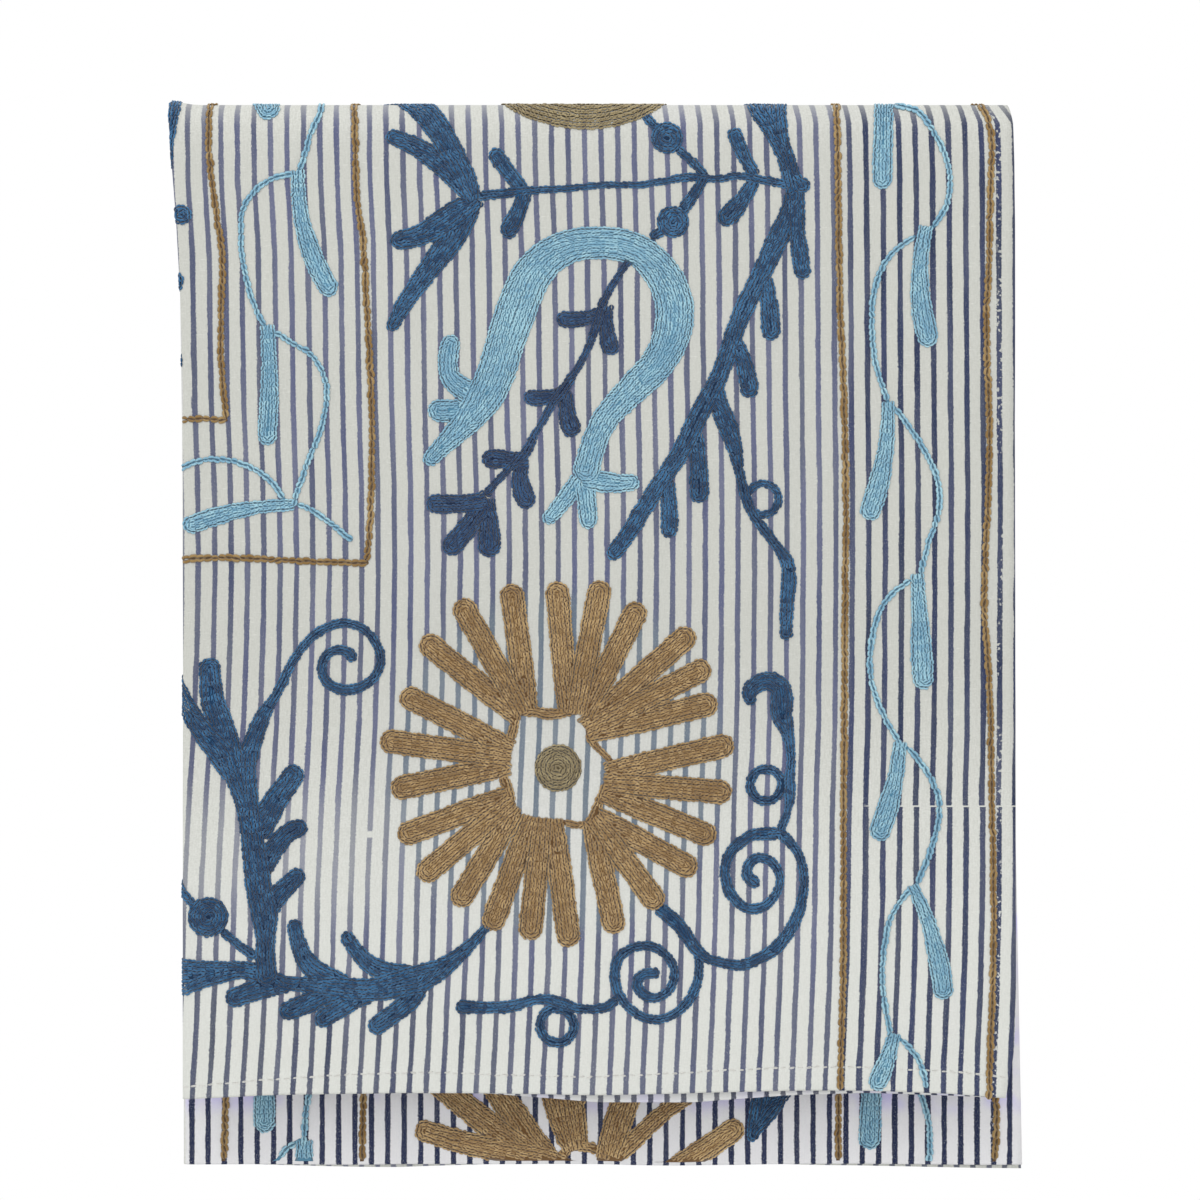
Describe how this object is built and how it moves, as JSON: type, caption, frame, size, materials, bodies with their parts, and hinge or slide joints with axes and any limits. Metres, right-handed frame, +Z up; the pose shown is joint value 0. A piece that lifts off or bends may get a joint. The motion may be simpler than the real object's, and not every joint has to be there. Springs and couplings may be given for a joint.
{
  "type": "suzani embroidered textile",
  "caption": "Chain-stitch embroidered panel of striped cotton, folded lengthwise and hung over a round rail.",
  "frame": {"origin": "middle of the width, on the inside of the crown, where the cloth bears on its rail", "axes": "+Z up, the front flap faces -Y, +X towards the open edges"},
  "size_m": [0.518, 0.0505, 0.649],
  "materials": {
    "embroidered_cotton": "woven"
  },
  "bodies": {
    "root": {"cloth": "embroidered_cotton"}
  },
  "joints": []
}
